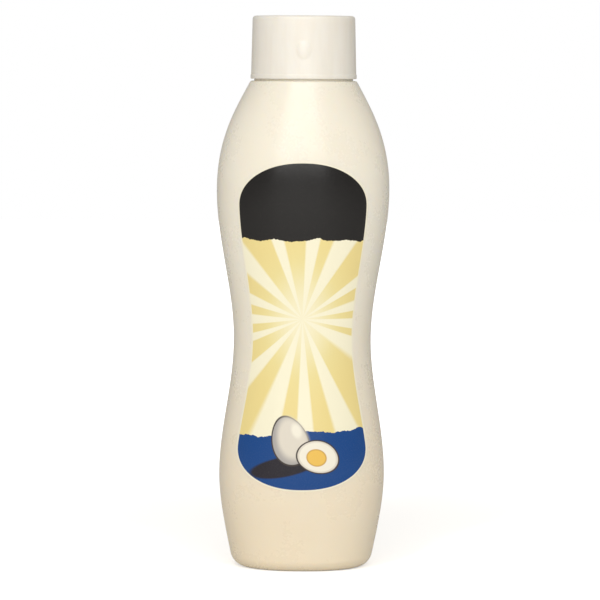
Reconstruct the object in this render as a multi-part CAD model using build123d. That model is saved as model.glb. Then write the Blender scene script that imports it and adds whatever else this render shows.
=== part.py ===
from build123d import *

import math
import os

# A mayonnaise squeeze bottle that stands upright on its base: a waisted oval plastic body, full
# and shut, a smooth round cap on its shoulder, and a thin label on the front and on the back.
#
# Frame: millimetres, +Z up, origin at the centre of the plane that the base stands on. X runs
# across the broad side, and the front label faces -Y. The body can't be seen into, so it is solid.

# Body, from the base up: how far each level lies above the one before
BELLY_RISE = 38.5
WAIST_RISE = 57.5
BULGE_RISE = 66.0
SHOULDER_RISE = 26.0
LEDGE_RISE = 17.2

# Body: half of the width (X) and half of the depth (Y) at each level
HEEL_HALF_WIDTH, HEEL_HALF_DEPTH = 28.6, 24.0
BELLY_HALF_WIDTH, BELLY_HALF_DEPTH = 34.9, 27.8
WAIST_HALF_WIDTH, WAIST_HALF_DEPTH = 28.9, 24.6
BULGE_HALF_WIDTH, BULGE_HALF_DEPTH = 36.3, 28.6
SHOULDER_HALF_WIDTH, SHOULDER_HALF_DEPTH = 30.9, 26.5

# Body: the exponent of its oval sections, 2 for an ellipse and more for flatter sides
BODY_SQUARENESS = 2.25
LEDGE_SQUARENESS = 2.0
SECTION_SPACING = 13.0
SECTION_POINTS = 24

# Body: its edges, and the shallow dome under the base inside a standing ring of this least width
HEEL_FILLET = 5.0
LEDGE_BEVEL = 0.6
STANDING_RING_WIDTH = 4.5
PUSH_UP_HEIGHT = 2.6
PUSH_UP_CURVE_HEIGHT = 10.0

# Cap: a smooth skirt that narrows a little upwards, with a low bead round its lower edge
CAP_HEIGHT = 26.4
CAP_BEAD_RADIUS = 22.35
CAP_BEAD_HEIGHT = 1.8
CAP_BEAD_STEP = 0.2
CAP_TAPER = 0.6
CAP_TOP_FILLET = 1.3
CAP_BEAD_FILLET = 0.15

# Cap: a low oval pip for the thumb, in the middle of its front
PIP_HALF_WIDTH = 2.9
PIP_HALF_HEIGHT = 3.6
PIP_PROUD = 0.45
PIP_CURVE_DEPTH = 1.5
PIP_LEVEL = 12.0

# The shadow gap between the shoulder and the cap, with the neck that carries the cap inside it
GAP_HEIGHT = 0.9
GAP_DEPTH = 1.6
LEDGE_INSET = 0.05

# Labels: a film whose outline follows the body's, with a dome at each end
LABEL_THICKNESS = 0.15
LABEL_SIDE_MARGIN_LOW = 6.8
LABEL_SIDE_MARGIN_HIGH = 9.1
LABEL_LOW_DOME_ABOVE_BELLY = 16.0
LABEL_LOW_DOME_HEIGHT = 19.9
LABEL_HIGH_DOME_BELOW_BULGE = 9.0
LABEL_HIGH_DOME_HEIGHT = 19.0
LABEL_DOME_SQUARENESS = 2.25
LABEL_SIDE_POINTS = 8
LABEL_DOME_POINTS = 7

# Levels of the body above the base
BELLY_LEVEL = BELLY_RISE
WAIST_LEVEL = BELLY_LEVEL + WAIST_RISE
BULGE_LEVEL = WAIST_LEVEL + BULGE_RISE
SHOULDER_LEVEL = BULGE_LEVEL + SHOULDER_RISE
LEDGE_LEVEL = SHOULDER_LEVEL + LEDGE_RISE
CAP_LEVEL = LEDGE_LEVEL + GAP_HEIGHT
LEDGE_RADIUS = CAP_BEAD_RADIUS - LEDGE_INSET
LEVELS = [0.0, BELLY_LEVEL, WAIST_LEVEL, BULGE_LEVEL, SHOULDER_LEVEL, LEDGE_LEVEL]
HALF_WIDTHS = [
    HEEL_HALF_WIDTH,
    BELLY_HALF_WIDTH,
    WAIST_HALF_WIDTH,
    BULGE_HALF_WIDTH,
    SHOULDER_HALF_WIDTH,
    LEDGE_RADIUS,
]
HALF_DEPTHS = [
    HEEL_HALF_DEPTH,
    BELLY_HALF_DEPTH,
    WAIST_HALF_DEPTH,
    BULGE_HALF_DEPTH,
    SHOULDER_HALF_DEPTH,
    LEDGE_RADIUS,
]


def curvatures(levels, values):
    """The second derivative at each level of the natural cubic spline through the values."""
    rises = [b - a for a, b in zip(levels, levels[1:])]
    slopes = [(b - a) / rise for a, b, rise in zip(values, values[1:], rises)]
    pivots, rights = [], []
    for i in range(1, len(levels) - 1):
        pivot = 2 * (rises[i - 1] + rises[i])
        right = 6 * (slopes[i] - slopes[i - 1])
        if pivots:
            share = rises[i - 1] / pivots[-1]
            pivot -= share * rises[i - 1]
            right -= share * rights[-1]
        pivots.append(pivot)
        rights.append(right)
    found = [0.0]
    for i in range(len(pivots), 0, -1):
        found.insert(0, (rights[i - 1] - rises[i] * found[0]) / pivots[i - 1])
    return [0.0] + found


def smooth(levels, values, level):
    """The natural cubic spline through the values, read at one level."""
    bends = curvatures(levels, values)
    i = max(k for k in range(len(levels) - 1) if levels[k] <= level or k == 0)
    rise = levels[i + 1] - levels[i]
    up, down = (level - levels[i]) / rise, (levels[i + 1] - level) / rise
    line = down * values[i] + up * values[i + 1]
    bow = (down**3 - down) * bends[i] + (up**3 - up) * bends[i + 1]
    return line + bow * rise**2 / 6


def half_width(level):
    return smooth(LEVELS, HALF_WIDTHS, level)


def half_depth(level):
    return smooth(LEVELS, HALF_DEPTHS, level)


def squareness(level):
    """The body's own up to the bulge, and then easing into the round ledge."""
    share = min(max((level - BULGE_LEVEL) / (LEDGE_LEVEL - BULGE_LEVEL), 0.0), 1.0)
    return BODY_SQUARENESS + (LEDGE_SQUARENESS - BODY_SQUARENESS) * share**2 * (3 - 2 * share)


def oval(half_x, half_y, exponent, level):
    """A closed wire round a superellipse that lies level."""
    points = []
    for i in range(SECTION_POINTS):
        turn = 2 * math.pi * i / SECTION_POINTS
        across, along = math.cos(turn), math.sin(turn)
        x = half_x * math.copysign(abs(across) ** (2 / exponent), across)
        y = half_y * math.copysign(abs(along) ** (2 / exponent), along)
        points.append((x, y, level))
    return Wire([Edge.make_spline([Vector(*p) for p in points], periodic=True)])


def body_core(grown=0.0):
    """The body from heel to ledge, with sharp ends, grown sideways by a thickness."""
    count = math.ceil(LEDGE_LEVEL / SECTION_SPACING)
    sections = []
    for i in range(count + 1):
        level = LEDGE_LEVEL * i / count
        sections.append(
            oval(half_width(level) + grown, half_depth(level) + grown, squareness(level), level)
        )
    return Solid.make_loft(sections, ruled=False)


def push_up():
    """The flattened dome that hollows the base inside its standing ring."""
    sunk = PUSH_UP_CURVE_HEIGHT - PUSH_UP_HEIGHT
    spread = math.sqrt(1 - (sunk / PUSH_UP_CURVE_HEIGHT) ** 2)
    inset = HEEL_FILLET + STANDING_RING_WIDTH
    radii = (
        (HEEL_HALF_WIDTH - inset) / spread,
        (HEEL_HALF_DEPTH - inset) / spread,
        PUSH_UP_CURVE_HEIGHT,
    )
    poles_sideways = Rot(0, 90, 0) * Sphere(1)
    return Pos(0, 0, -sunk) * scale(poles_sideways, by=radii)


def ledge_bevel():
    """The ring that bevels the ledge's edge, at half of the angle that the shoulder falls away."""
    drop = half_width(LEDGE_LEVEL - LEDGE_BEVEL) - half_width(LEDGE_LEVEL)
    angle = math.atan2(LEDGE_BEVEL, drop) / 2
    inner = LEDGE_RADIUS - LEDGE_BEVEL
    outer = inner + 4 * LEDGE_BEVEL
    low = LEDGE_LEVEL - 4 * LEDGE_BEVEL * math.tan(angle)
    high = LEDGE_LEVEL + LEDGE_BEVEL
    section = make_face(
        Polyline((inner, LEDGE_LEVEL), (outer, low), (outer, high), (inner, high), close=True)
    )
    return revolve(Plane.XZ * section, Axis.Z)


def bottle(core):
    heel_edge = core.edges().sort_by(Axis.Z)[0]
    body = core.fillet(HEEL_FILLET, [heel_edge]) - ledge_bevel()
    neck = Pos(0, 0, LEDGE_LEVEL) * Cylinder(
        CAP_BEAD_RADIUS - GAP_DEPTH, GAP_HEIGHT, align=(Align.CENTER, Align.CENTER, Align.MIN)
    )
    return body + neck - push_up()


def cap():
    skirt_low = CAP_BEAD_RADIUS - CAP_BEAD_STEP
    skirt_high = skirt_low - CAP_TAPER
    corners = [
        (0, 0),
        (CAP_BEAD_RADIUS, 0),
        (CAP_BEAD_RADIUS, CAP_BEAD_HEIGHT),
        (skirt_low, CAP_BEAD_HEIGHT),
        (skirt_high, CAP_HEIGHT),
        (0, CAP_HEIGHT),
    ]
    profile = make_face(Polyline(*corners, close=True))
    bead_corners = profile.vertices().group_by(Axis.X)[-1]
    profile = fillet(bead_corners, CAP_BEAD_FILLET)
    top_corner = profile.vertices().group_by(Axis.Y)[-1].sort_by(Axis.X)[-1]
    profile = fillet(top_corner, CAP_TOP_FILLET)
    skirt = revolve(Plane.XZ * profile, Axis.Z)

    rise = PIP_LEVEL / CAP_HEIGHT
    wall = skirt_low - CAP_TAPER * rise
    sunk = PIP_CURVE_DEPTH - PIP_PROUD
    spread = math.sqrt(1 - (sunk / PIP_CURVE_DEPTH) ** 2)
    pip = scale(
        Sphere(1), by=(PIP_HALF_WIDTH / spread, PIP_CURVE_DEPTH, PIP_HALF_HEIGHT / spread)
    )
    whole = skirt + Pos(0, -(wall - sunk), PIP_LEVEL) * pip
    return Pos(0, 0, CAP_LEVEL) * whole


LABEL_LOW_DOME_LEVEL = BELLY_LEVEL + LABEL_LOW_DOME_ABOVE_BELLY
LABEL_HIGH_DOME_LEVEL = BULGE_LEVEL - LABEL_HIGH_DOME_BELOW_BULGE


def label_half_width(level):
    """Half of the label's width where its sides run along the body, before the domes."""
    span = LABEL_HIGH_DOME_LEVEL - LABEL_LOW_DOME_LEVEL
    share = (level - LABEL_LOW_DOME_LEVEL) / span
    margin = LABEL_SIDE_MARGIN_LOW + (LABEL_SIDE_MARGIN_HIGH - LABEL_SIDE_MARGIN_LOW) * share
    return half_width(level) - margin


def dome_points(dome_level, height):
    """The right half of a dome, from its widest level to just short of its tip."""
    power = 2 / LABEL_DOME_SQUARENESS
    points = []
    for i in range(LABEL_DOME_POINTS):
        turn = math.pi / 2 * i / LABEL_DOME_POINTS
        level = dome_level + height * math.sin(turn) ** power
        points.append((label_half_width(level) * math.cos(turn) ** power, level))
    return points


def label_outline():
    """The label's outline as seen from the front, as a face in the XZ plane."""
    low = dome_points(LABEL_LOW_DOME_LEVEL, -LABEL_LOW_DOME_HEIGHT)
    high = dome_points(LABEL_HIGH_DOME_LEVEL, LABEL_HIGH_DOME_HEIGHT)
    span = LABEL_HIGH_DOME_LEVEL - LABEL_LOW_DOME_LEVEL
    sides = []
    for i in range(1, LABEL_SIDE_POINTS):
        level = LABEL_LOW_DOME_LEVEL + span * i / LABEL_SIDE_POINTS
        sides.append((label_half_width(level), level))
    right = low[::-1] + sides + high
    left = [(-x, level) for x, level in reversed(right)]
    tip = [(0.0, LABEL_HIGH_DOME_LEVEL + LABEL_HIGH_DOME_HEIGHT)]
    foot = [(0.0, LABEL_LOW_DOME_LEVEL - LABEL_LOW_DOME_HEIGHT)]
    points = [Vector(x, 0, level) for x, level in right + tip + left + foot]
    return Face(Wire([Edge.make_spline(points, periodic=True)]))


def label(core, skin, side):
    """The film between the body and its grown skin, within the outline, on one side (-1 front)."""
    reach = side * (max(HALF_DEPTHS) + LABEL_THICKNESS) * 2
    prism = Solid.extrude(label_outline(), Vector(0, reach, 0))
    return (skin & prism) - core


def write(node, shape):
    solids = shape.solids()
    assert len(solids) == 1, f"{node} has {len(solids)} solids"
    export_step(solids[0], f"parts/{node}.step")


os.makedirs("parts", exist_ok=True)
core = body_core()
skin = body_core(LABEL_THICKNESS)
write("bottle", bottle(core))
write("cap", cap())
write("label_front", label(core, skin, -1))
write("label_back", label(core, skin, 1))
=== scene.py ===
import math

import bmesh
import bpy
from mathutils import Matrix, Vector
from mathutils.bvhtree import BVHTree


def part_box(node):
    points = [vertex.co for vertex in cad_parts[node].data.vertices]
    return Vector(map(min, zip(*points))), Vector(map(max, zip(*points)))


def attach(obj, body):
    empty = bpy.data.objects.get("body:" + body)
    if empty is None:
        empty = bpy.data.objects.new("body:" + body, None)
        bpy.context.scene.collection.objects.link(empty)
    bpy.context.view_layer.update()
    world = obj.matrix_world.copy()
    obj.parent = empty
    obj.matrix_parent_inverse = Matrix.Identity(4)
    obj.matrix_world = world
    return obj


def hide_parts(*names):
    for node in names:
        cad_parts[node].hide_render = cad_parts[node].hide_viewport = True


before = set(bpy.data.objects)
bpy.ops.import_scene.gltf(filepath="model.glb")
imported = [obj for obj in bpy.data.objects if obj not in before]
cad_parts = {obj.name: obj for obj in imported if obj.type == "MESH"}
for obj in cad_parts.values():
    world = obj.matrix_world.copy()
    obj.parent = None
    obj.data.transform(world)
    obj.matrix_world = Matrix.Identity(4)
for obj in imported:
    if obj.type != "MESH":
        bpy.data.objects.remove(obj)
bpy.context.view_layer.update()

# A mayonnaise squeeze bottle: a waisted oval bottle in glossy cream plastic, a smooth round cap and
# a thin printed film on the front and on the back. Everything is in metres, +Z up, front towards -Y.

MM = 0.001
BOTTLE_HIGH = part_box("bottle")[1]
CAP_LOW, CAP_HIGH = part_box("cap")
FILM_LOW, FILM_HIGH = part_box("label_front")

# Bottle
NECK_HEIGHT = 0.9 * MM
NECK_DEPTH = 1.6 * MM
NECK_EDGE = 0.08 * MM
LEDGE_LEVEL = BOTTLE_HIGH[2] - NECK_HEIGHT
LEDGE_ROUND = 0.6 * MM
HEEL_ROUND = 5.0 * MM
RING_WIDTH = 4.5 * MM
PUSH_UP = 2.6 * MM
BODY_SQUARENESS = 2.25
ROUND = 2.0
BULGE_LEVEL = 162.0 * MM
BODY_RING_STEP = 1.2 * MM
BODY_COLUMNS = 200
BODY_GATHER = 0.75
MEASURED_LEVELS = 14
MEASURED_MARGIN = 1.0 * MM
MEASURED_FROM = 0.2
DOME_STEPS = 12
RING_STEPS = 3
HEEL_STEPS = 12
LEDGE_STEPS = 6

# Parting line and the wall's slight unevenness
PARTING_HEIGHT = 0.09 * MM
PARTING_WIDTH = 0.45 * MM
PARTING_FOOT = (0.5 * MM, 4.0 * MM)
PARTING_FOOT_GAIN = 1.2
PARTING_CLEAR = 1.2 * MM
UNEVENNESS = 0.16 * MM
UNEVENNESS_SCALE = 34.0
UNEVENNESS_START = (4.0 * MM, 20.0 * MM)

# Cap
CAP_RADIUS = (CAP_HIGH[0] - CAP_LOW[0]) / 2
CAP_BEAD_HEIGHT = 1.8 * MM
CAP_BEAD_MIDDLE = 0.6
CAP_BEAD_STEP = 0.2 * MM
CAP_TAPER = 0.6 * MM
CAP_TOP_ROUND = 1.3 * MM
CAP_FOOT_ROUND = 0.35 * MM
CAP_FOOT_EDGE = 0.1 * MM
CAP_STEP_HALF = 0.3 * MM
CAP_RIM_WIDTH = 1.2 * MM
CAP_DISH = 0.25 * MM
CAP_DISH_WIDTH = 2.4 * MM
CAP_COLUMNS = 288
CAP_FOOT_STEPS = 5
CAP_STEP_STEPS = 6
CAP_WALL_STEPS = 52
CAP_ROUND_STEPS = 12
CAP_TOP_STEPS = 8
GATE_RADIUS = 1.6 * MM
GATE_HEIGHT = 0.2 * MM
PIP_HALF_WIDTH = 3.1 * MM
PIP_HALF_HEIGHT = 3.8 * MM
PIP_PROUD = 0.45 * MM
PIP_LEVEL = CAP_LOW[2] + 12.0 * MM
PIP_FULLNESS = 0.8

# Film
FILM_THICKNESS = 0.15 * MM
FILM_SUNK = 0.02 * MM
FILM_LOW_DOME = 19.9 * MM
FILM_HIGH_DOME = 19.0 * MM
FILM_SIDE_MARGIN_LOW = 6.8 * MM
FILM_SIDE_MARGIN_HIGH = 9.1 * MM
FILM_SQUARENESS = 2.25
FILM_COLUMNS = 96
FILM_DOME_ROWS = 26
FILM_SIDE_ROWS = 70
FILM_MAP_MARGIN = 0.01
LAID_FROM = 0.1
LAID_REACH = 0.2
WELD_GAP = 1e-6
FILM_WELD_GAP = 1e-7

# Print
BLACK_EDGE_LEVEL = 139.2 * MM
BLACK_EDGE_SWING = 4.0 * MM
BLUE_EDGE_LEVEL = 59.0 * MM
BLUE_EDGE_SLOPE = 0.05
BLUE_EDGE_SWING = 6.0 * MM
TORN_NICKS = 1.6 * MM
INK_BLUR = 0.1 * MM
BARE_EDGE = (0.52 * MM, 0.72 * MM)
RAY_CENTRE_LEVEL = 106.5 * MM
RAY_COUNT = 15
RAY_UNEVENNESS = 1.6
RAY_BLUR = 0.28
RAY_SQUASH = 0.62
RAY_DEPTH = (8.0 * MM, 26.0 * MM)
RAY_GLOW = (1.0 * MM, 17.0 * MM)
RAY_GLOW_STRENGTH = 0.8

# Studio
FLOOR_HALF = 3.0
FLOOR_PAPER = (0.86, 0.85, 0.83, 1)
FLOOR_NEAR, FLOOR_FAR = 0.12, 0.7
FLOOR_GLOW = 0.52
FLOOR_GLOW_RISE = 0.6
WHITE_LIGHT = (1, 1, 1, 1)
SKY_LIGHT = (1.0, 0.97, 0.92, 1)
SKY_STRENGTH = 0.42
LAMP_AIM = (0, 0, 0.12)
KEY_LIGHT = (1.0, 0.99, 0.97)
GLINT_LIGHT = (1.0, 0.97, 0.95)
GLINT_SIZE = (0.10, 0.10)
CAMERA_PLACE = (0.0, -1.4, 0.214)
CAMERA_AIM = (-0.00105, 0.0, 0.1127)
CAMERA_ROLL = math.radians(0.3)
CAMERA_SENSOR = 36.0
CAMERA_LENS = 199.0


def srgb(red, green, blue):
    """A colour given in 0 to 255 display steps, as linear light."""

    def linear(step):
        part = step / 255
        return part / 12.92 if part <= 0.04045 else ((part + 0.055) / 1.055) ** 2.4

    return (linear(red), linear(green), linear(blue), 1.0)


# ---------------------------------------------------------------- node helpers


def add(tree, kind, place=None, **settings):
    """A node of a kind, with its own settings, and with its inputs by socket name or number."""
    node = tree.nodes.new(kind)
    for name, value in settings.items():
        setattr(node, name, value)
    for socket, value in (place or {}).items():
        target = node.inputs[socket]
        if isinstance(value, bpy.types.NodeSocket):
            tree.links.new(value, target)
        else:
            target.default_value = value
    return node


def math_node(tree, operation, *values):
    """The result of one sum on sockets or plain numbers."""
    kind = "ShaderNodeMath"
    return add(tree, kind, dict(enumerate(values)), operation=operation).outputs[0]


def vector_node(tree, operation, *values):
    """The result of one sum on vectors: a number for a length, a vector for the others."""
    kind = "ShaderNodeVectorMath"
    node = add(tree, kind, dict(enumerate(values)), operation=operation)
    return node.outputs["Value"] if operation == "LENGTH" else node.outputs[0]


def scaled(tree, vector, size):
    """A vector times a number, each a socket."""
    place = {0: vector, "Scale": size}
    return add(tree, "ShaderNodeVectorMath", place, operation="SCALE").outputs[0]


def square(tree, value):
    """A number times itself."""
    return math_node(tree, "MULTIPLY", value, value)


def combined(tree, x, y, z):
    """A vector from three numbers, each a socket or plain."""
    return add(tree, "ShaderNodeCombineXYZ", {"X": x, "Y": y, "Z": z}).outputs[0]


def ramp(tree, value, low, high):
    """0 below low and 1 above high, with a soft step between."""
    place = {"Value": value, "From Min": low, "From Max": high}
    node = add(tree, "ShaderNodeMapRange", place, interpolation_type="SMOOTHSTEP")
    return node.outputs["Result"]


def new_tree(name, sizes):
    """A geometry tree with one geometry in and out and a named input for each size."""
    tree = bpy.data.node_groups.new(name, "GeometryNodeTree")
    tree.is_modifier = True
    sides = tree.interface
    sides.new_socket("Geometry", in_out="INPUT", socket_type="NodeSocketGeometry")
    for size, (kind, value) in sizes.items():
        socket = sides.new_socket(size, in_out="INPUT", socket_type="NodeSocket" + kind)
        if value is not None:
            socket.default_value = value
    sides.new_socket("Geometry", in_out="OUTPUT", socket_type="NodeSocketGeometry")
    return tree, tree.nodes.new("NodeGroupInput"), tree.nodes.new("NodeGroupOutput")


def grown(name, blank, tree, sizes, material):
    """The plain mesh that a tree grows from a blank mesh, with its inputs set by identifier."""
    source = bpy.data.objects.new(name + "_blank", blank)
    bpy.context.scene.collection.objects.link(source)
    modifier = source.modifiers.new(name, "NODES")
    modifier.node_group = tree
    sizes = {**sizes, "Material": material}
    for item in tree.interface.items_tree:
        if item.in_out == "INPUT" and item.name in sizes:
            modifier[item.identifier] = sizes[item.name]
    source.update_tag()
    bpy.context.view_layer.update()
    graph = bpy.context.evaluated_depsgraph_get()
    shown = source.evaluated_get(graph)
    mesh = bpy.data.meshes.new_from_object(shown, preserve_all_data_layers=True, depsgraph=graph)
    source.modifiers.clear()
    bpy.data.objects.remove(source)
    mesh.name = name
    piece = bpy.data.objects.new(name, mesh)
    bpy.context.scene.collection.objects.link(piece)
    return piece


# ---------------------------------------------------------------- shapes


def spline_through(levels, values):
    """The natural cubic spline through the values, as a function of the level."""
    count = len(levels)
    rises = [levels[i + 1] - levels[i] for i in range(count - 1)]
    slopes = [(values[i + 1] - values[i]) / rises[i] for i in range(count - 1)]
    pivots, rights = [1.0], [0.0]
    for i in range(1, count - 1):
        share = rises[i - 1] / pivots[-1] if i > 1 else 0.0
        pivots.append(2 * (rises[i - 1] + rises[i]) - share * rises[i - 1])
        rights.append(6 * (slopes[i] - slopes[i - 1]) - share * rights[-1])
    bends = [0.0] * count
    for i in range(count - 2, 0, -1):
        bends[i] = (rights[i] - rises[i] * bends[i + 1]) / pivots[i]

    def read(level):
        i = max([k for k in range(count - 1) if levels[k] <= level] or [0])
        rise, t = rises[i], level - levels[i]
        slope = slopes[i] - rise * (2 * bends[i] + bends[i + 1]) / 6
        if t < 0:
            return values[i] + t * slope
        cubic = (bends[i + 1] - bends[i]) / (6 * rise)
        return values[i] + t * slope + t * t * bends[i] / 2 + t**3 * cubic

    return read


def body_outline():
    """Half of the body's width and of its depth at any level, measured on the CAD bottle."""
    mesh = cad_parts["bottle"].data
    points = [v.co.copy() for v in mesh.vertices]
    tree = BVHTree.FromPolygons(points, [tuple(p.vertices) for p in mesh.polygons])
    low, high = HEEL_ROUND + MEASURED_MARGIN, LEDGE_LEVEL - MEASURED_MARGIN
    levels = [low + (high - low) * i / (MEASURED_LEVELS - 1) for i in range(MEASURED_LEVELS)]
    reaches = []
    for way in (Vector((1, 0, 0)), Vector((0, 1, 0))):
        found = []
        for level in levels:
            hits = []
            for side in (1, -1):
                start = way * side * MEASURED_FROM + Vector((0, 0, level))
                hits.append(tree.ray_cast(start, -way * side)[0].dot(way) * side)
            found.append(sum(hits) / 2)
        reaches.append(spline_through(levels, found))
    return reaches


HALF_WIDTH, HALF_DEPTH = body_outline()


def eased(share):
    """0 to 1 with a level start and end."""
    return share**2 * (3 - 2 * share)


def squareness(level):
    """The exponent of the oval: the body's own up to the bulge, then easing into the round ledge."""
    share = min(max((level - BULGE_LEVEL) / (LEDGE_LEVEL - BULGE_LEVEL), 0.0), 1.0)
    return BODY_SQUARENESS + (ROUND - BODY_SQUARENESS) * eased(share)


def spine(name, rings):
    """A mesh with one point for each ring: half width, half depth and level, and its exponent."""
    mesh = bpy.data.meshes.new(name)
    mesh.from_pydata([ring[:3] for ring in rings], [], [])
    exponents = mesh.attributes.new("squareness", "FLOAT", "POINT")
    exponents.data.foreach_set("value", [ring[3] for ring in rings])
    return mesh


def bottle_rings():
    """The rings of the bottle, from the middle of its base, up its side, to the top of its neck."""
    base_width, base_depth = HALF_WIDTH(0.0), HALF_DEPTH(0.0)
    inset = HEEL_ROUND + RING_WIDTH
    rings = []
    for i in range(DOME_STEPS + 1):
        share = i / DOME_STEPS
        level = PUSH_UP * (1 - share**2)
        half = ((base_width - inset) * share, (base_depth - inset) * share)
        rings.append((*half, level, BODY_SQUARENESS))
    for i in range(1, RING_STEPS + 1):
        step = inset - RING_WIDTH * i / RING_STEPS
        rings.append((base_width - step, base_depth - step, 0.0, BODY_SQUARENESS))
    for i in range(1, HEEL_STEPS + 1):
        turn = math.pi / 2 * i / HEEL_STEPS
        level = HEEL_ROUND * (1 - math.cos(turn))
        step = HEEL_ROUND * (1 - math.sin(turn))
        rings.append((HALF_WIDTH(level) - step, HALF_DEPTH(level) - step, level, BODY_SQUARENESS))
    span = LEDGE_LEVEL - LEDGE_ROUND - HEEL_ROUND
    count = round(span / BODY_RING_STEP)
    for i in range(1, count + 1):
        level = HEEL_ROUND + span * i / count
        rings.append((HALF_WIDTH(level), HALF_DEPTH(level), level, squareness(level)))
    for i in range(1, LEDGE_STEPS + 1):
        turn = math.pi / 2 * i / LEDGE_STEPS
        level = LEDGE_LEVEL - LEDGE_ROUND * (1 - math.sin(turn))
        step = LEDGE_ROUND * (1 - math.cos(turn))
        rings.append((HALF_WIDTH(level) - step, HALF_DEPTH(level) - step, level, ROUND))
    neck = CAP_RADIUS - NECK_DEPTH
    for radius, level in (
        (neck + NECK_EDGE, LEDGE_LEVEL),
        (neck, LEDGE_LEVEL),
        (neck, LEDGE_LEVEL + NECK_EDGE),
        (neck, BOTTLE_HIGH[2] - NECK_EDGE),
        (neck, BOTTLE_HIGH[2]),
        (neck - NECK_EDGE, BOTTLE_HIGH[2]),
        (neck / 2, BOTTLE_HIGH[2]),
        (0.0, BOTTLE_HIGH[2]),
    ):
        rings.append((radius, radius, level, ROUND))
    return rings


def cap_rings():
    """The rings of the cap, from the middle of its underside to the gate mark in its dished top."""
    low, high = CAP_LOW[2], CAP_HIGH[2]
    wall_low = CAP_RADIUS - CAP_BEAD_STEP
    wall_high = wall_low - CAP_TAPER
    foot = CAP_RADIUS - CAP_FOOT_ROUND
    track = [(0.0, low), (foot / 2, low), (foot - CAP_FOOT_EDGE, low)]
    for i in range(CAP_FOOT_STEPS + 1):
        turn = math.pi / 2 * i / CAP_FOOT_STEPS
        radius = foot + CAP_FOOT_ROUND * math.sin(turn)
        track.append((radius, low + CAP_FOOT_ROUND * (1 - math.cos(turn))))
    bead_top = low + CAP_BEAD_HEIGHT
    track.append((CAP_RADIUS, low + CAP_BEAD_HEIGHT * CAP_BEAD_MIDDLE))
    track.append((CAP_RADIUS, bead_top - CAP_STEP_HALF))
    for i in range(1, CAP_STEP_STEPS + 1):
        share = i / CAP_STEP_STEPS
        level = bead_top - CAP_STEP_HALF + 2 * CAP_STEP_HALF * share
        track.append((CAP_RADIUS - CAP_BEAD_STEP * eased(share), level))
    wall_start, wall_end = bead_top + CAP_STEP_HALF, high - CAP_TOP_ROUND
    for i in range(1, CAP_WALL_STEPS + 1):
        level = wall_start + (wall_end - wall_start) * i / CAP_WALL_STEPS
        share = (level - bead_top) / (high - bead_top)
        track.append((wall_low + (wall_high - wall_low) * share, level))
    for i in range(1, CAP_ROUND_STEPS + 1):
        turn = math.pi / 2 * i / CAP_ROUND_STEPS
        radius = wall_high - CAP_TOP_ROUND * (1 - math.cos(turn))
        track.append((radius, high - CAP_TOP_ROUND * (1 - math.sin(turn))))
    rim = wall_high - CAP_TOP_ROUND - CAP_RIM_WIDTH
    for i in range(CAP_ROUND_STEPS + 1):
        share = i / CAP_ROUND_STEPS
        track.append((rim - CAP_DISH_WIDTH * share, high - CAP_DISH * eased(share)))
    floor = rim - CAP_DISH_WIDTH
    for i in range(1, CAP_TOP_STEPS + 1):
        track.append((floor - (floor - GATE_RADIUS) * i / CAP_TOP_STEPS, high - CAP_DISH))
    for i in range(1, CAP_TOP_STEPS + 1):
        share = i / CAP_TOP_STEPS
        rise = GATE_HEIGHT * math.sin(math.pi / 2 * share)
        track.append((GATE_RADIUS * (1 - share), high - CAP_DISH + rise))
    return [(radius, radius, level, ROUND) for radius, level in track]


# ---------------------------------------------------------------- geometry trees


def parting_relief(tree, sizes, position):
    """A fine ridge where the mould's halves meet, round both sides and across the base."""
    parts = add(tree, "ShaderNodeSeparateXYZ", {0: position})
    level = parts.outputs["Z"]
    away = math_node(tree, "DIVIDE", parts.outputs["Y"], sizes["Parting Width"])
    fall = math_node(tree, "EXPONENT", math_node(tree, "MULTIPLY", square(tree, away), -1.0))
    ridge = math_node(tree, "MULTIPLY", fall, sizes["Parting Height"])
    below = math_node(tree, "SUBTRACT", 1.0, ramp(tree, level, *PARTING_FOOT))
    foot = math_node(tree, "MULTIPLY", below, PARTING_FOOT_GAIN)
    ridge = math_node(tree, "MULTIPLY", ridge, math_node(tree, "ADD", 1.0, foot))
    ridge = math_node(tree, "MULTIPLY", ridge, ramp(tree, level, 0.0, PARTING_CLEAR))
    place = {"Vector": position, "Scale": UNEVENNESS_SCALE, "Detail": 1.0}
    waves = add(tree, "ShaderNodeTexNoise", place, noise_dimensions="3D").outputs[0]
    swell = math_node(tree, "SUBTRACT", waves, 0.5)
    swell = math_node(tree, "MULTIPLY", swell, sizes["Unevenness"])
    swell = math_node(tree, "MULTIPLY", swell, ramp(tree, level, *UNEVENNESS_START))
    return math_node(tree, "ADD", ridge, swell)


def pip_relief(tree, sizes, position):
    """A low oval pip for the thumb, in the middle of the front."""
    parts = add(tree, "ShaderNodeSeparateXYZ", {0: position})
    across = math_node(tree, "DIVIDE", parts.outputs["X"], sizes["Pip Half Width"])
    rise = math_node(tree, "SUBTRACT", parts.outputs["Z"], sizes["Pip Level"])
    up = math_node(tree, "DIVIDE", rise, sizes["Pip Half Height"])
    spread = math_node(tree, "ADD", square(tree, across), square(tree, up))
    within = math_node(tree, "MAXIMUM", math_node(tree, "SUBTRACT", 1.0, spread), 0.0)
    dome = math_node(tree, "POWER", within, PIP_FULLNESS)
    front = math_node(tree, "LESS_THAN", parts.outputs["Y"], 0.0)
    return math_node(tree, "MULTIPLY", math_node(tree, "MULTIPLY", dome, front), sizes["Pip Proud"])


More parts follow.
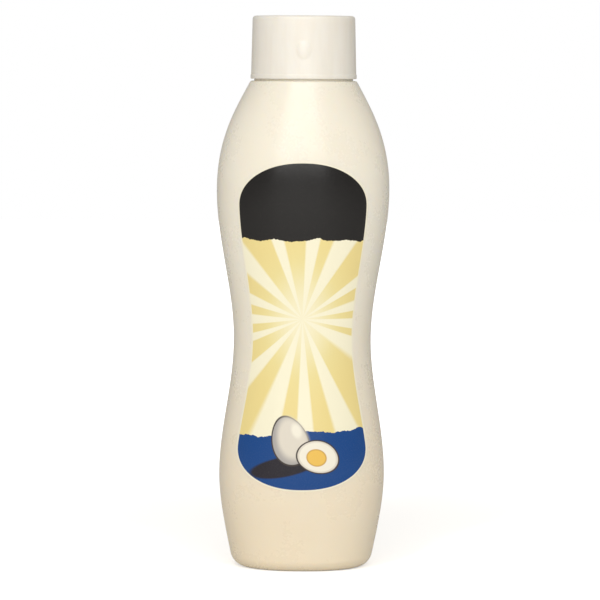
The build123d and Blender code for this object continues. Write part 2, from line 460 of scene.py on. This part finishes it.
def ring_skin_tree(name, relief, sizes):
    """A closed skin of oval rings, one for each point of a spine, with relief along its normal."""
    sockets = {size: ("Int" if size == "Columns" else "Float", sizes[size]) for size in sizes}
    tree, start, end = new_tree(name, {**sockets, "Material": ("Material", None)})
    given = start.outputs
    count = add(tree, "GeometryNodeAttributeDomainSize", {0: given["Geometry"]}, component="MESH")
    rings = count.outputs["Point Count"]
    columns = math_node(tree, "ADD", given["Columns"], 1.0)
    place = {"Size X": 1.0, "Size Y": 1.0, "Vertices X": columns, "Vertices Y": rings}
    grid = add(tree, "GeometryNodeMeshGrid", place)
    flat = tree.nodes.new("GeometryNodeInputPosition").outputs[0]
    spot = add(tree, "ShaderNodeSeparateXYZ", {0: flat})
    share = math_node(tree, "ADD", spot.outputs["Y"], 0.5)
    last = math_node(tree, "SUBTRACT", rings, 1.0)
    ring = math_node(tree, "ROUND", math_node(tree, "MULTIPLY", share, last))
    share = math_node(tree, "ADD", spot.outputs["X"], 0.5)
    turn = math_node(tree, "MULTIPLY", share, 2 * math.pi)
    double = math_node(tree, "SINE", math_node(tree, "MULTIPLY", turn, 2.0))
    gather = math_node(tree, "MULTIPLY", given["Side Gather"], 0.5)
    turn = math_node(tree, "SUBTRACT", turn, math_node(tree, "MULTIPLY", gather, double))

    place = {"Geometry": given["Geometry"], "Index": ring}
    centre = tree.nodes.new("GeometryNodeInputPosition").outputs[0]
    sample = "GeometryNodeSampleIndex"
    halves = add(tree, sample, {**place, "Value": centre}, data_type="FLOAT_VECTOR")
    halves = add(tree, "ShaderNodeSeparateXYZ", {0: halves.outputs[0]})
    named = add(tree, "GeometryNodeInputNamedAttribute", {"Name": "squareness"}, data_type="FLOAT")
    exponent = add(tree, sample, {**place, "Value": named.outputs[0]}, data_type="FLOAT")
    power = math_node(tree, "DIVIDE", 2.0, exponent.outputs[0])
    reach = []
    for wave, half in (("COSINE", halves.outputs["X"]), ("SINE", halves.outputs["Y"])):
        swing = math_node(tree, wave, turn)
        size = math_node(tree, "POWER", math_node(tree, "ABSOLUTE", swing), power)
        side = math_node(tree, "MULTIPLY", math_node(tree, "SIGN", swing), size)
        reach.append(math_node(tree, "MULTIPLY", side, half))
    point = combined(tree, *reach, halves.outputs["Z"])
    place = {"Geometry": grid.outputs["Mesh"], "Position": point}
    placed = add(tree, "GeometryNodeSetPosition", place)
    place = {"Geometry": placed.outputs[0], "Distance": WELD_GAP}
    merged = add(tree, "GeometryNodeMergeByDistance", place)

    position = tree.nodes.new("GeometryNodeInputPosition").outputs[0]
    normal = tree.nodes.new("GeometryNodeInputNormal").outputs[0]
    offset = scaled(tree, normal, relief(tree, given, position))
    place = {"Geometry": merged.outputs[0], "Offset": offset}
    raised = add(tree, "GeometryNodeSetPosition", place)
    smooth = add(tree, "GeometryNodeSetShadeSmooth", {"Geometry": raised.outputs[0]})
    finish_tree(tree, smooth.outputs[0], given["Material"], end)
    return tree


def finish_tree(tree, geometry, material, end):
    """Ends a tree: its instances made real, with the material on them."""
    real = add(tree, "GeometryNodeRealizeInstances", {"Geometry": geometry})
    place = {"Geometry": real.outputs[0], "Material": material}
    finish = add(tree, "GeometryNodeSetMaterial", place)
    tree.links.new(finish.outputs[0], end.inputs[0])


def film_tree():
    """Lays a flat blank on the bottle from one side and gives it the film's thickness."""
    sizes = {
        "Bottle": ("Object", None),
        "Side": ("Float", -1.0),
        "Stand": ("Float", FILM_THICKNESS),
        "Thickness": ("Float", FILM_THICKNESS + FILM_SUNK),
        "Material": ("Material", None),
    }
    tree, start, end = new_tree("Label Film", sizes)
    given = start.outputs
    place = {"Object": given["Bottle"]}
    target = add(tree, "GeometryNodeObjectInfo", place, transform_space="RELATIVE")
    position = tree.nodes.new("GeometryNodeInputPosition").outputs[0]
    parts = add(tree, "ShaderNodeSeparateXYZ", {0: position})
    outside = math_node(tree, "MULTIPLY", given["Side"], LAID_FROM)
    inwards = math_node(tree, "MULTIPLY", given["Side"], -1.0)
    source = combined(tree, parts.outputs["X"], outside, parts.outputs["Z"])
    way = combined(tree, 0.0, inwards, 0.0)
    place = {"Target Geometry": target.outputs["Geometry"], "Source Position": source}
    place |= {"Ray Direction": way, "Ray Length": LAID_REACH}
    hit = add(tree, "GeometryNodeRaycast", place)
    lift = scaled(tree, hit.outputs["Hit Normal"], given["Stand"])
    spot = vector_node(tree, "ADD", hit.outputs["Hit Position"], lift)
    laid = add(tree, "GeometryNodeSetPosition", {"Geometry": given["Geometry"], "Position": spot})
    place = {"Geometry": laid.outputs[0], "Distance": WELD_GAP}
    front = add(tree, "GeometryNodeMergeByDistance", place)

    normal = tree.nodes.new("GeometryNodeInputNormal").outputs[0]
    place = {"Mesh": front.outputs[0], "Offset": normal}
    place["Offset Scale"] = math_node(tree, "MULTIPLY", given["Thickness"], -1.0)
    place["Individual"] = False
    back = add(tree, "GeometryNodeExtrudeMesh", place, mode="FACES")
    joined = add(tree, "GeometryNodeJoinGeometry")
    tree.links.new(back.outputs["Mesh"], joined.inputs[0])
    tree.links.new(front.outputs[0], joined.inputs[0])
    place = {"Geometry": joined.outputs[0], "Distance": FILM_WELD_GAP}
    closed = add(tree, "GeometryNodeMergeByDistance", place)
    finish_tree(tree, closed.outputs[0], given["Material"], end)
    return tree


def film_half_width(level, low_dome, high_dome):
    """Half the film's width where its sides run beside the body's."""
    share = (level - low_dome) / (high_dome - low_dome)
    margin = FILM_SIDE_MARGIN_LOW + (FILM_SIDE_MARGIN_HIGH - FILM_SIDE_MARGIN_LOW) * share
    return HALF_WIDTH(level) - margin


def film_blank(name, side):
    """The flat blank of the film: a grid that narrows into both domes, with its distance from the
    cut edge and a square map of its print."""
    low_dome = FILM_LOW[2] + FILM_LOW_DOME
    high_dome = FILM_HIGH[2] - FILM_HIGH_DOME
    power = 2 / FILM_SQUARENESS
    rows = []
    for i in range(FILM_DOME_ROWS):
        turn = math.pi / 2 * (1 - i / FILM_DOME_ROWS)
        rows.append((low_dome - FILM_LOW_DOME * math.sin(turn) ** power, math.cos(turn) ** power))
    for i in range(FILM_SIDE_ROWS + 1):
        rows.append((low_dome + (high_dome - low_dome) * i / FILM_SIDE_ROWS, 1.0))
    for i in range(1, FILM_DOME_ROWS + 1):
        turn = math.pi / 2 * i / FILM_DOME_ROWS
        rows.append((high_dome + FILM_HIGH_DOME * math.sin(turn) ** power, math.cos(turn) ** power))
    edge = [(film_half_width(level, low_dome, high_dome) * narrow, level) for level, narrow in rows]
    edge[0] = (0.0, edge[0][1])
    edge[-1] = (0.0, edge[-1][1])

    points, insets = [], []
    for half, level in edge:
        for column in range(FILM_COLUMNS + 1):
            x = half * (2 * column / FILM_COLUMNS - 1)
            points.append((x, 0.0, level))
            insets.append(distance_to_edge(abs(x), level, edge))
    faces = []
    width = FILM_COLUMNS + 1
    for row in range(len(edge) - 1):
        for column in range(FILM_COLUMNS):
            corner = row * width + column
            quad = (corner, corner + 1, corner + 1 + width, corner + width)
            faces.append(quad if side < 0 else quad[::-1])
    mesh = bpy.data.meshes.new(name)
    mesh.from_pydata(points, [], faces)
    inset = mesh.attributes.new("inset", "FLOAT", "POINT")
    inset.data.foreach_set("value", insets)
    reach = max(half for half, _ in edge)
    span = FILM_HIGH[2] - FILM_LOW[2]
    layer = mesh.uv_layers.new(name="OFBake")
    for loop in mesh.loops:
        x, _, level = points[loop.vertex_index]
        across = 0.5 + (0.5 - FILM_MAP_MARGIN) * x / reach
        rise = (1 - 2 * FILM_MAP_MARGIN) * (level - FILM_LOW[2]) / span
        layer.data[loop.index].uv = (across, FILM_MAP_MARGIN + rise)
    return mesh


def distance_to_edge(x, level, edge):
    """How far a point of the right half lies from the cut edge."""
    best = 1.0
    for (x0, z0), (x1, z1) in zip(edge, edge[1:]):
        dx, dz = x1 - x0, z1 - z0
        share = ((x - x0) * dx + (level - z0) * dz) / (dx * dx + dz * dz)
        share = min(max(share, 0.0), 1.0)
        best = min(best, math.hypot(x - x0 - share * dx, level - z0 - share * dz))
    return best


# ---------------------------------------------------------------- finishes


def new_finish(name):
    """A material with a Principled shader, its object coordinates, and its X, Y and Z."""
    material = bpy.data.materials.new(name)
    material.use_nodes = True
    tree = material.node_tree
    tree.nodes.clear()
    shader = tree.nodes.new("ShaderNodeBsdfPrincipled")
    output = tree.nodes.new("ShaderNodeOutputMaterial")
    tree.links.new(shader.outputs[0], output.inputs[0])
    coordinates = tree.nodes.new("ShaderNodeTexCoord").outputs["Object"]
    parts = add(tree, "ShaderNodeSeparateXYZ", {0: coordinates})
    return material, tree, shader, coordinates, parts


def mix(tree, share, first, second):
    """A colour between two, each a socket or a plain colour."""
    place = {"Factor_Float": share, "A_Color": first, "B_Color": second}
    node = tree.nodes.new("ShaderNodeMix")
    node.data_type = "RGBA"
    for socket, value in place.items():
        target = next(s for s in node.inputs if s.identifier == socket)
        if isinstance(value, bpy.types.NodeSocket):
            tree.links.new(value, target)
        else:
            target.default_value = value
    return next(s for s in node.outputs if s.type == "RGBA")


def noise(tree, coordinates, scale, detail=2.0, roughness=0.5):
    """Noise from 0 to 1, with about this many waves to the metre."""
    place = {"Vector": coordinates, "Scale": scale, "Detail": detail, "Roughness": roughness}
    return add(tree, "ShaderNodeTexNoise", place).outputs[0]


CREAM = srgb(243, 238, 224)
# Painted warm shade: the cream of the bottle's lower part, a little darker and warmer.
SHADED_CREAM_FOOT = srgb(240, 226, 200)
CREAM_MOTTLE = srgb(241, 231, 210)
CAP_WHITE = srgb(241, 237, 228)
CAP_FLOW = srgb(237, 232, 221)


def cream_wall():
    """Glossy cream polyethylene, painted a little warmer and darker towards the base as shade, with a
    faint orange peel.
    """
    material, tree, shader, coordinates, parts = new_finish("cream_wall")
    # Painted shade: the colour blends from the cream into the darker, warmer foot colour towards the
    # base.
    rise = ramp(tree, parts.outputs["Z"], 0.0, 0.13)
    colour = mix(tree, rise, SHADED_CREAM_FOOT, CREAM)
    mottle = ramp(tree, noise(tree, coordinates, 28.0, 3.0), 0.35, 0.7)
    colour = mix(tree, math_node(tree, "MULTIPLY", mottle, 0.35), colour, CREAM_MOTTLE)
    tree.links.new(colour, shader.inputs["Base Color"])
    fine = noise(tree, coordinates, 900.0, 2.0)
    broad = noise(tree, coordinates, 60.0, 2.0)
    rough = math_node(tree, "MULTIPLY_ADD", broad, 0.10, 0.21)
    rough = math_node(tree, "MULTIPLY_ADD", fine, 0.04, rough)
    tree.links.new(rough, shader.inputs["Roughness"])
    peel = math_node(tree, "MULTIPLY_ADD", noise(tree, coordinates, 420.0, 2.0), 0.5, fine)
    bump = add(tree, "ShaderNodeBump", {"Height": peel, "Strength": 0.03, "Distance": 0.0004})
    tree.links.new(bump.outputs[0], shader.inputs["Normal"])
    shader.inputs["Subsurface Weight"].default_value = 0.25
    shader.inputs["Subsurface Radius"].default_value = (1.0, 0.8, 0.5)
    shader.inputs["Subsurface Scale"].default_value = 0.004
    shader.inputs["IOR"].default_value = 1.5
    return material


def cap_shell():
    """Off-white moulded polypropylene, satin, with faint flow marks that run up the skirt."""
    material, tree, shader, coordinates, parts = new_finish("cap_shell")
    stretch = add(tree, "ShaderNodeMapping", {"Vector": coordinates, "Scale": (1.0, 1.0, 0.15)})
    flow = noise(tree, stretch.outputs[0], 240.0, 3.0)
    colour = mix(tree, ramp(tree, flow, 0.3, 0.75), CAP_WHITE, CAP_FLOW)
    tree.links.new(colour, shader.inputs["Base Color"])
    fine = noise(tree, coordinates, 1400.0, 2.0)
    rough = math_node(tree, "MULTIPLY_ADD", fine, 0.10, 0.34)
    tree.links.new(rough, shader.inputs["Roughness"])
    bump = add(tree, "ShaderNodeBump", {"Height": fine, "Strength": 0.10, "Distance": 0.0002})
    tree.links.new(bump.outputs[0], shader.inputs["Normal"])
    shader.inputs["Subsurface Weight"].default_value = 0.2
    shader.inputs["Subsurface Radius"].default_value = (1.0, 0.85, 0.6)
    shader.inputs["Subsurface Scale"].default_value = 0.003
    return material


BLACK_INK = srgb(16, 14, 14)
BLUE_INK = srgb(4, 68, 136)
YELLOW_INK = srgb(238, 225, 160)
DEEP_YELLOW_INK = srgb(238, 219, 148)
PALE_INK = srgb(249, 244, 216)
BARE_FILM = srgb(246, 240, 219)
SHELL_INK = srgb(226, 219, 205)
SHELL_SHADE_INK = srgb(176, 172, 168)
WHITE_INK = srgb(245, 240, 224)
YOLK_INK = srgb(240, 196, 92)
YOLK_EDGE_INK = srgb(205, 160, 78)
OUTLINE_INK = srgb(62, 54, 52)
SHADOW_INK = srgb(34, 30, 40)


def oval_distance(tree, parts, centre, halves, tilt=0.0, taper=0.0):
    """1 on an oval's line, less inside: an oval that tilts, and narrows upwards like an egg."""
    x = math_node(tree, "SUBTRACT", parts.outputs["X"], centre[0])
    z = math_node(tree, "SUBTRACT", parts.outputs["Z"], centre[1])
    cos, sin = math.cos(tilt), math.sin(tilt)
    across = math_node(tree, "MULTIPLY_ADD", z, sin, math_node(tree, "MULTIPLY", x, cos))
    up = math_node(tree, "MULTIPLY_ADD", x, -sin, math_node(tree, "MULTIPLY", z, cos))
    up = math_node(tree, "DIVIDE", up, halves[1])
    narrow = math_node(tree, "MULTIPLY_ADD", up, -taper, 1.0)
    across = math_node(tree, "DIVIDE", math_node(tree, "DIVIDE", across, halves[0]), narrow)
    return vector_node(tree, "LENGTH", combined(tree, across, up, 0.0))


def inside(tree, distance, limit, soft):
    """1 inside an oval's line and 0 outside it, with a soft edge."""
    return math_node(tree, "SUBTRACT", 1.0, ramp(tree, distance, limit - soft, limit + soft))


def torn_edge(tree, parts, level, swing, seed):
    """The level of a hand-torn edge at each place across: long waves with finer nicks on them."""
    line = combined(tree, parts.outputs["X"], seed, 0.0)
    waves = math_node(tree, "SUBTRACT", noise(tree, line, 95.0, 1.0), 0.5)
    nicks = math_node(tree, "SUBTRACT", noise(tree, line, 520.0, 2.0, 0.7), 0.5)
    edge = math_node(tree, "MULTIPLY_ADD", waves, swing, level)
    return math_node(tree, "MULTIPLY_ADD", nicks, TORN_NICKS, edge)


def sunburst(tree, parts):
    """Uneven pale and yellow rays from the middle of the film, washed out towards their centre."""
    rise = math_node(tree, "SUBTRACT", parts.outputs["Z"], RAY_CENTRE_LEVEL)
    angle = math_node(tree, "ARCTAN2", parts.outputs["X"], rise)
    way = (math_node(tree, "COSINE", angle), math_node(tree, "SINE", angle))
    jitter = noise(tree, combined(tree, *way, 3.0), 1.7, 1.0)
    jitter = math_node(tree, "SUBTRACT", jitter, 0.5)
    jitter = math_node(tree, "MULTIPLY", jitter, RAY_UNEVENNESS)
    turns = math_node(tree, "MULTIPLY_ADD", angle, RAY_COUNT / (2 * math.pi), jitter)
    wave = math_node(tree, "SINE", math_node(tree, "MULTIPLY", turns, 2 * math.pi))
    rays = ramp(tree, wave, -RAY_BLUR, RAY_BLUR)
    squashed = math_node(tree, "MULTIPLY", rise, RAY_SQUASH)
    away = vector_node(tree, "LENGTH", combined(tree, parts.outputs["X"], squashed, 0.0))
    yellow = mix(tree, ramp(tree, away, *RAY_DEPTH), YELLOW_INK, DEEP_YELLOW_INK)
    colour = mix(tree, rays, yellow, PALE_INK)
    glow = math_node(tree, "SUBTRACT", 1.0, ramp(tree, away, *RAY_GLOW))
    return mix(tree, math_node(tree, "MULTIPLY", glow, RAY_GLOW_STRENGTH), colour, PALE_INK)


def eggs(tree, parts, colour):
    """A whole egg and a halved one with its yolk, drawn with dark outlines over a cast shadow."""
    shadow = oval_distance(tree, parts, (-0.0070, 0.0450), (0.0150, 0.0042), 0.22)
    colour = mix(tree, inside(tree, shadow, 1.0, 0.10), colour, SHADOW_INK)
    whole = oval_distance(tree, parts, (-0.0050, 0.0558), (0.0078, 0.0108), 0.30, 0.16)
    colour = mix(tree, inside(tree, whole, 1.0, 0.02), colour, OUTLINE_INK)
    colour = mix(tree, inside(tree, whole, 0.93, 0.02), colour, SHELL_SHADE_INK)
    lit = oval_distance(tree, parts, (-0.0040, 0.0568), (0.0068, 0.0098), 0.30, 0.16)
    colour = mix(tree, inside(tree, lit, 0.90, 0.22), colour, SHELL_INK)
    gleam = oval_distance(tree, parts, (-0.0022, 0.0600), (0.0022, 0.0034), 0.35)
    colour = mix(tree, inside(tree, gleam, 0.9, 0.4), colour, WHITE_INK)
    half = oval_distance(tree, parts, (0.0068, 0.0492), (0.0092, 0.0070), -0.25, 0.08)
    colour = mix(tree, inside(tree, half, 1.0, 0.02), colour, OUTLINE_INK)
    colour = mix(tree, inside(tree, half, 0.93, 0.02), colour, SHELL_INK)
    colour = mix(tree, inside(tree, half, 0.84, 0.03), colour, WHITE_INK)
    yolk = oval_distance(tree, parts, (0.0062, 0.0488), (0.0043, 0.0036), -0.25)
    colour = mix(tree, inside(tree, yolk, 1.0, 0.05), colour, YOLK_EDGE_INK)
    return mix(tree, inside(tree, yolk, 0.88, 0.08), colour, YOLK_INK)


def printed_film():
    """Gloss film with fields of ink inside a thin bare edge: black, yellow rays, blue and eggs."""
    material, tree, shader, coordinates, parts = new_finish("printed_film")
    level = parts.outputs["Z"]
    colour = sunburst(tree, parts)
    top = torn_edge(tree, parts, BLACK_EDGE_LEVEL, BLACK_EDGE_SWING, 1.37)
    above = math_node(tree, "SUBTRACT", level, top)
    colour = mix(tree, ramp(tree, above, -INK_BLUR, INK_BLUR), colour, BLACK_INK)
    across = parts.outputs["X"]
    slope = math_node(tree, "MULTIPLY_ADD", across, BLUE_EDGE_SLOPE, BLUE_EDGE_LEVEL)
    foot = torn_edge(tree, parts, slope, BLUE_EDGE_SWING, 4.71)
    under = math_node(tree, "SUBTRACT", foot, level)
    colour = mix(tree, ramp(tree, under, -INK_BLUR, INK_BLUR), colour, BLUE_INK)
    colour = eggs(tree, parts, colour)
    grain = noise(tree, coordinates, 2600.0, 2.0)
    worn = math_node(tree, "MULTIPLY", ramp(tree, grain, 0.45, 0.8), 0.012)
    colour = mix(tree, worn, colour, BARE_FILM)
    inset = add(tree, "ShaderNodeAttribute", attribute_name="inset").outputs["Fac"]
    colour = mix(tree, ramp(tree, inset, *BARE_EDGE), BARE_FILM, colour)
    tree.links.new(colour, shader.inputs["Base Color"])
    rough = math_node(tree, "MULTIPLY_ADD", noise(tree, coordinates, 90.0, 2.0), 0.08, 0.17)
    rough = math_node(tree, "MULTIPLY_ADD", grain, 0.05, rough)
    tree.links.new(rough, shader.inputs["Roughness"])
    place = {"Height": noise(tree, coordinates, 700.0, 2.0), "Strength": 0.025, "Distance": 0.0003}
    bump = add(tree, "ShaderNodeBump", place)
    tree.links.new(bump.outputs[0], shader.inputs["Normal"])
    shader.inputs["IOR"].default_value = 1.48
    return material


# ---------------------------------------------------------------- pieces


def outward(piece):
    """Turns every face of a closed piece outwards."""
    mesh = bmesh.new()
    mesh.from_mesh(piece.data)
    bmesh.ops.recalc_face_normals(mesh, faces=mesh.faces)
    mesh.to_mesh(piece.data)
    mesh.free()


def make_pieces():
    """Grows every piece, and tells the frame what it rides on and stands for."""
    sizes = {
        "Columns": BODY_COLUMNS,
        "Side Gather": BODY_GATHER,
        "Parting Height": PARTING_HEIGHT,
        "Parting Width": PARTING_WIDTH,
        "Unevenness": UNEVENNESS,
    }
    tree = ring_skin_tree("Bottle Skin", parting_relief, sizes)
    blank = spine("bottle_spine", bottle_rings())
    bottle = grown("bottle_skin", blank, tree, sizes, cream_wall())

    sizes = {
        "Columns": CAP_COLUMNS,
        "Side Gather": 0.0,
        "Pip Half Width": PIP_HALF_WIDTH,
        "Pip Half Height": PIP_HALF_HEIGHT,
        "Pip Level": PIP_LEVEL,
        "Pip Proud": PIP_PROUD,
    }
    tree = ring_skin_tree("Cap Skin", pip_relief, sizes)
    cap = grown("cap_skin", spine("cap_spine", cap_rings()), tree, sizes, cap_shell())

    film = printed_film()
    laying = film_tree()
    films = []
    for name, side in (("front_film", -1), ("back_film", 1)):
        sizes = {"Bottle": bottle, "Side": float(side)}
        sizes |= {"Stand": FILM_THICKNESS, "Thickness": FILM_THICKNESS + FILM_SUNK}
        films.append(grown(name, film_blank(name, side), laying, sizes, film))

    rows = (
        (bottle, "bottle", "bottle"),
        (cap, "cap", "cap"),
        (films[0], "label_front", "label"),
        (films[1], "label_back", "label"),
    )
    for piece, node, finish in rows:
        outward(piece)
        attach(piece, "root")
        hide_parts(node)


# ---------------------------------------------------------------- studio


def backdrop():
    """A plain floor that shows white to the camera and keeps the bottle's shadow, and a white sky."""
    half = FLOOR_HALF
    mesh = bpy.data.meshes.new("floor")
    corners = [(-half, -half, 0), (half, -half, 0), (half, half, 0), (-half, half, 0)]
    mesh.from_pydata(corners, [], [(0, 1, 2, 3)])
    floor = bpy.data.objects.new("floor", mesh)
    bpy.context.scene.collection.objects.link(floor)
    material = bpy.data.materials.new("white_floor")
    material.use_nodes = True
    tree = material.node_tree
    tree.nodes.clear()
    path = tree.nodes.new("ShaderNodeLightPath")
    paper = add(tree, "ShaderNodeBsdfDiffuse", {"Color": FLOOR_PAPER})
    spot = tree.nodes.new("ShaderNodeTexCoord").outputs["Object"]
    away = ramp(tree, vector_node(tree, "LENGTH", spot), FLOOR_NEAR, FLOOR_FAR)
    bright = math_node(tree, "MULTIPLY_ADD", away, FLOOR_GLOW_RISE, FLOOR_GLOW)
    strength = math_node(tree, "MULTIPLY", path.outputs["Is Camera Ray"], bright)
    glow = add(tree, "ShaderNodeEmission", {"Color": WHITE_LIGHT, "Strength": strength})
    both = add(tree, "ShaderNodeAddShader", {0: paper.outputs[0], 1: glow.outputs[0]})
    output = tree.nodes.new("ShaderNodeOutputMaterial")
    tree.links.new(both.outputs[0], output.inputs[0])
    mesh.materials.append(material)

    world = bpy.data.worlds.new("studio")
    bpy.context.scene.world = world
    world.use_nodes = True
    tree = world.node_tree
    tree.nodes.clear()
    path = tree.nodes.new("ShaderNodeLightPath")
    seen = add(tree, "ShaderNodeBackground", {"Color": WHITE_LIGHT, "Strength": 1.0})
    lit = add(tree, "ShaderNodeBackground", {"Color": SKY_LIGHT, "Strength": SKY_STRENGTH})
    place = {0: path.outputs["Is Camera Ray"], 1: lit.outputs[0], 2: seen.outputs[0]}
    both = add(tree, "ShaderNodeMixShader", place)
    output = tree.nodes.new("ShaderNodeOutputWorld")
    tree.links.new(both.outputs[0], output.inputs[0])


def aimed(thing, place, aim):
    """Puts a lamp or camera in the scene at a place, looking at the aim."""
    thing.location = place
    thing.rotation_euler = (Vector(aim) - Vector(place)).to_track_quat("-Z", "Y").to_euler()
    bpy.context.scene.collection.objects.link(thing)


def lamp(name, place, size, power, colour):
    """A soft rectangular lamp, aimed at the middle of the bottle."""
    data = bpy.data.lights.new(name, "AREA")
    data.shape = "RECTANGLE"
    data.size, data.size_y = size
    data.energy = power
    data.color = colour
    aimed(bpy.data.objects.new(name, data), place, LAMP_AIM)


def studio():
    """A wide key lamp in front, and a small lamp on each side for the shoulders."""
    lamp("key", (-0.10, -1.9, 0.9), (1.6, 1.2), 20.0, KEY_LIGHT)
    lamp("left_glint", (-0.42, -1.15, 1.25), GLINT_SIZE, 2.6, GLINT_LIGHT)
    lamp("right_glint", (0.40, -1.15, 1.25), GLINT_SIZE, 2.2, GLINT_LIGHT)


def camera():
    """A long lens in front of the bottle, level with its cap."""
    data = bpy.data.cameras.new("camera")
    data.sensor_width = CAMERA_SENSOR
    data.lens = CAMERA_LENS
    eye = bpy.data.objects.new("camera", data)
    aimed(eye, CAMERA_PLACE, CAMERA_AIM)
    eye.rotation_euler.rotate_axis("Z", CAMERA_ROLL)
    bpy.context.scene.camera = eye


make_pieces()
backdrop()
studio()
camera()
bpy.context.scene.view_settings.view_transform = "Standard"
